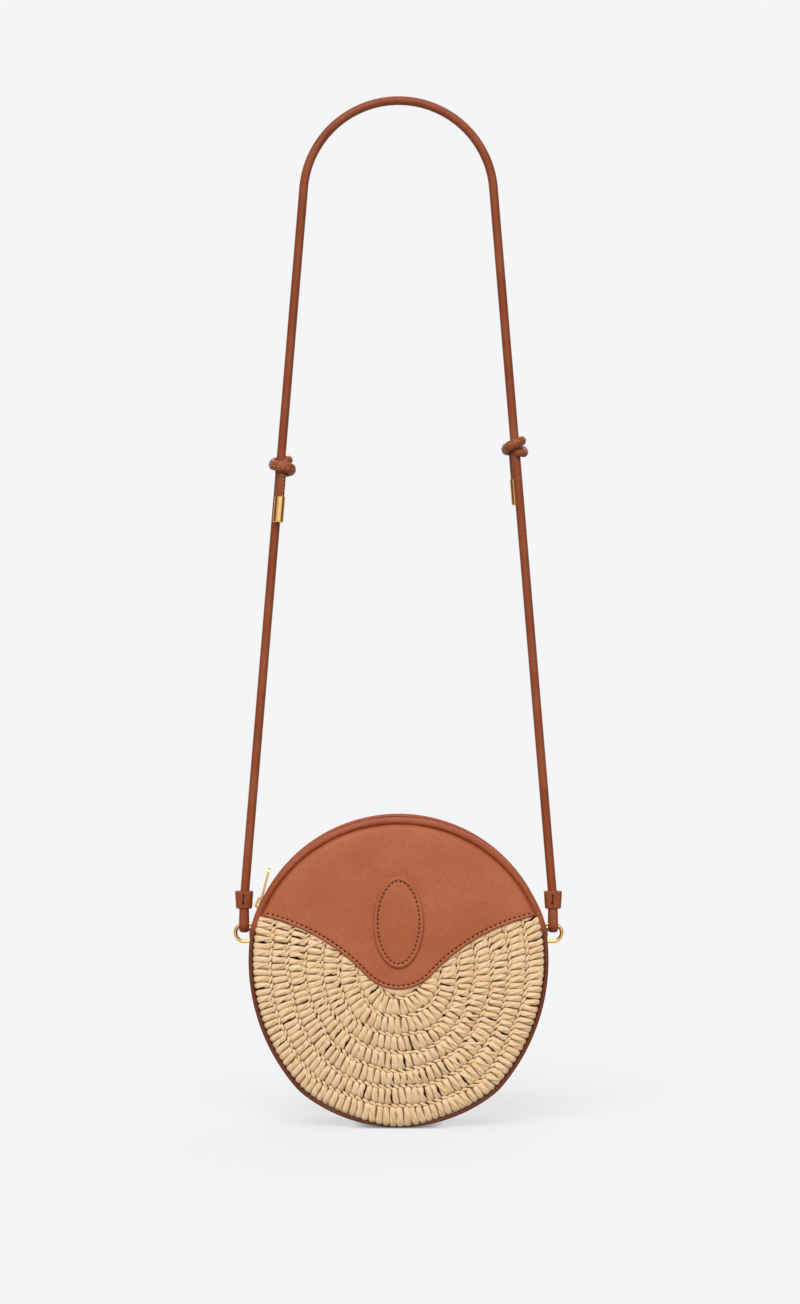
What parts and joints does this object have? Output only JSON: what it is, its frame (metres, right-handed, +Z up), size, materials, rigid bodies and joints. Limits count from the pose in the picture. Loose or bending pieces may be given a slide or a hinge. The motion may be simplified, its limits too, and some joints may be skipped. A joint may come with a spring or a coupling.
{
  "type": "round shoulder bag",
  "caption": "Round shoulder bag: crocheted raffia front under a bell-shaped leather yoke, zipped leather gusset, D-rings and a long leather cord strap with knotted, metal-tipped ends",
  "frame": {"origin": "underside of the strap at its crown, where a hook or a shoulder carries the bag", "axes": "+Z up along the hanging bag, front of the bag faces -Y, +X to the right as seen from the front"},
  "size_m": [0.2058, 0.064, 0.6402],
  "materials": {
    "tan_leather": "satin",
    "strap_leather": "satin",
    "raffia": "satin",
    "dark_cloth": "matte",
    "lining_cloth": "matte",
    "foam": "matte",
    "bonded_board": "matte",
    "zip_tape": "matte",
    "brass": "polished"
  },
  "bodies": {
    "strap": {"strap_cord": "strap_leather", "left_strap_loop": "strap_leather", "right_strap_loop": "strap_leather", "left_keeper": "strap_leather", "right_keeper": "strap_leather"},
    "bag": {"front_yoke": "tan_leather", "yoke_padding": "foam", "raffia_panel": "raffia", "raffia_backing": "dark_cloth", "front_lining": "lining_cloth", "front_badge": "tan_leather", "back_panel": "tan_leather", "back_stiffener": "bonded_board", "back_lining": "lining_cloth", "front_piping": "tan_leather", "back_piping": "tan_leather", "lower_gusset": "tan_leather", "gusset_lining": "lining_cloth", "zip_gusset_front": "tan_leather", "zip_gusset_back": "tan_leather", "zip_tape_front": "zip_tape", "zip_tape_back": "zip_tape", "zip_teeth_front": "brass", "zip_teeth_back": "brass", "zip_stop_front": "brass", "zip_stop_back": "brass", "zip_end_bar": "brass", "left_side_tab": "tan_leather", "right_side_tab": "tan_leather"},
    "left_ring": {"left_d_ring": "brass"},
    "right_ring": {"right_d_ring": "brass"},
    "zip_slider": {"zip_slider": "brass"},
    "zip_pull": {"zip_pull": "brass"},
    "left_knot": {"left_knot": "strap_leather", "left_ferrule": "brass"},
    "right_knot": {"right_knot": "strap_leather", "right_ferrule": "brass"}
  },
  "joints": [
    {"name": "bag_swing", "type": "hinge", "parent": "strap", "child": "bag", "pos_m": [0, 0, -0.5116], "axis": [1, 0, 0], "range_deg": [-100, 100]},
    {"name": "left_ring_turn", "type": "hinge", "parent": "bag", "child": "left_ring", "pos_m": [-0.09105, 0, -0.51658], "axis": [0, 0, 1], "range_deg": [-3.5, 3.5]},
    {"name": "right_ring_turn", "type": "hinge", "parent": "bag", "child": "right_ring", "pos_m": [0.09105, 0, -0.51658], "axis": [0, 0, 1], "range_deg": [-3.5, 3.5]},
    {"name": "zip_slide", "type": "hinge", "parent": "bag", "child": "zip_slider", "pos_m": [0, 0, -0.53908], "axis": [0, 1, 0], "range_deg": [0, 108], "deforming": ["zip_teeth_front", "zip_teeth_back"]},
    {"name": "zip_pull_flip", "type": "hinge", "parent": "zip_slider", "child": "zip_pull", "pos_m": [-0.0862, 0, -0.49833], "axis": [0, -1, 0], "range_deg": [0, 25]},
    {"name": "left_knot_slide", "type": "slide", "parent": "strap", "child": "left_knot", "axis": [0.0834, 0, 0.9965], "range_m": [-0.18, 0.14]},
    {"name": "right_knot_slide", "type": "slide", "parent": "strap", "child": "right_knot", "axis": [-0.0834, 0, 0.9965], "range_m": [-0.18, 0.13]}
  ]
}
